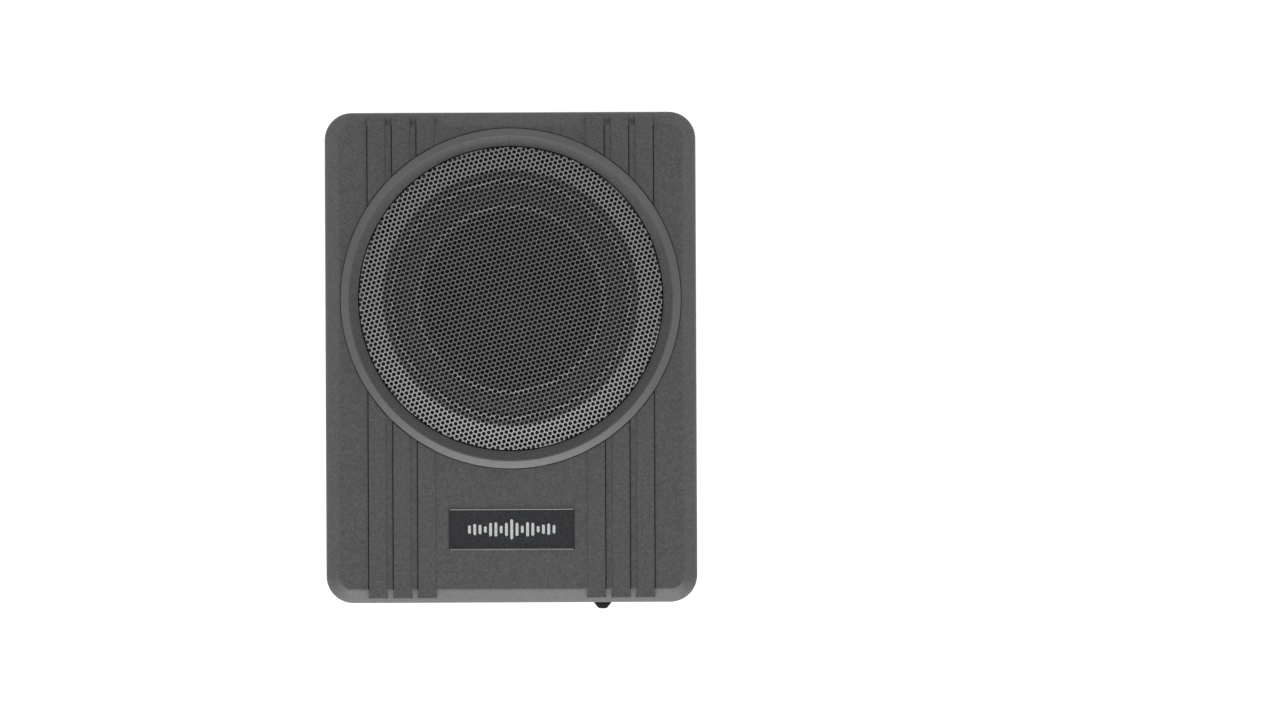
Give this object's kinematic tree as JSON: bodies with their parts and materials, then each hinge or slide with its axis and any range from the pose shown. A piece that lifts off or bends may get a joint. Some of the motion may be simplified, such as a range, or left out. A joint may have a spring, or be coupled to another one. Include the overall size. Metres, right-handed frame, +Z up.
{
  "type": "powered car subwoofer",
  "caption": "Slim self-powered under-seat car subwoofer: ribbed cast cover, domed round grille over a driver, amplifier inside, connection bay at one end.",
  "frame": {"origin": "under the middle of the whole object, gain knob included, on the plane that its rubber feet stand on", "axes": "+Z up out of the grille, +Y along the enclosure away from the connection bay, +X across it"},
  "size_m": [0.261, 0.3524, 0.076],
  "materials": {
    "cover_coat": "matte",
    "housing_coat": "matte",
    "black_rubber": "matte",
    "grille_coat": "satin",
    "badge_gloss": "gloss",
    "zinc_steel": "satin",
    "black_steel": "satin",
    "cone_paper": "matte",
    "spider_cloth": "matte",
    "former_foil": "satin",
    "copper": "satin",
    "ferrite": "matte",
    "board_laminate": "satin",
    "capacitor_sleeve": "gloss",
    "raw_aluminium": "satin",
    "epoxy": "matte",
    "panel_paint": "satin",
    "knob_plastic": "satin",
    "pot_case": "satin",
    "black_nylon": "matte",
    "white_nylon": "satin",
    "nickel": "polished",
    "fuse_plastic": "gloss",
    "lamp_lens": "gloss"
  },
  "bodies": {
    "enclosure": {"badge_plate": "badge_gloss", "basket": "black_steel", "basket_gasket": "black_rubber", "bass_boost_pot": "pot_case", "case_screw_1": "black_steel", "case_screw_2": "black_steel", "case_screw_3": "black_steel", "case_screw_4": "black_steel", "case_screw_5": "black_steel", "case_screw_6": "black_steel", "choke": "copper", "connector_panel": "panel_paint", "cover_gasket": "black_rubber", "driver_screw_1": "black_steel", "driver_screw_2": "black_steel", "driver_screw_3": "black_steel", "driver_screw_4": "black_steel", "driver_screw_5": "black_steel", "driver_screw_6": "black_steel", "foot_front_left": "black_rubber", "foot_front_right": "black_rubber", "foot_rear_left": "black_rubber", "foot_rear_right": "black_rubber", "fuse": "fuse_plastic", "gain_pot": "pot_case", "grille": "grille_coat", "heat_bar": "raw_aluminium", "high_level_socket": "white_nylon", "low_pass_pot": "pot_case", "lower_housing": "housing_coat", "magnet": "ferrite", "main_board": "board_laminate", "output_transistor_1": "epoxy", "output_transistor_2": "epoxy", "phase_switch": "black_nylon", "power_lamp": "lamp_lens", "power_terminal": "black_nylon", "rca_jack_lower": "nickel", "rca_jack_upper": "nickel", "remote_socket": "black_nylon", "reservoir_capacitor_1": "capacitor_sleeve", "reservoir_capacitor_2": "capacitor_sleeve", "spider": "spider_cloth", "surround": "black_rubber", "terminal_board": "board_laminate", "tinsel_lead_left": "copper", "tinsel_lead_right": "copper", "top_cover": "cover_coat", "top_plate": "zinc_steel", "yoke": "zinc_steel"},
    "moving_cone": {"cone": "cone_paper", "dust_cap": "cone_paper", "coil_former": "former_foil", "voice_coil": "copper"},
    "gain": {"gain_knob": "knob_plastic"},
    "low_pass": {"low_pass_knob": "knob_plastic"},
    "bass_boost": {"bass_boost_knob": "knob_plastic"},
    "phase": {"phase_slider": "white_nylon"}
  },
  "joints": [
    {"name": "cone_travel", "type": "slide", "parent": "enclosure", "child": "moving_cone", "axis": [0, 0, 1], "range_m": [-0.005, 0.005], "stiffness_N_per_m": 3000, "deforming": ["surround", "spider", "tinsel_lead_left", "tinsel_lead_right"]},
    {"name": "gain_turn", "type": "hinge", "parent": "enclosure", "child": "gain", "pos_m": [0.065, -0.16305, 0.022], "axis": [0, -1, 0], "range_deg": [-150, 150]},
    {"name": "low_pass_turn", "type": "hinge", "parent": "enclosure", "child": "low_pass", "pos_m": [0.04, -0.16305, 0.022], "axis": [0, -1, 0], "range_deg": [-150, 150]},
    {"name": "bass_boost_turn", "type": "hinge", "parent": "enclosure", "child": "bass_boost", "pos_m": [0.02, -0.16305, 0.022], "axis": [0, -1, 0], "range_deg": [-150, 150]},
    {"name": "phase_slide", "type": "slide", "parent": "enclosure", "child": "phase", "axis": [1, 0, 0], "range_m": [0, 0.004]}
  ]
}
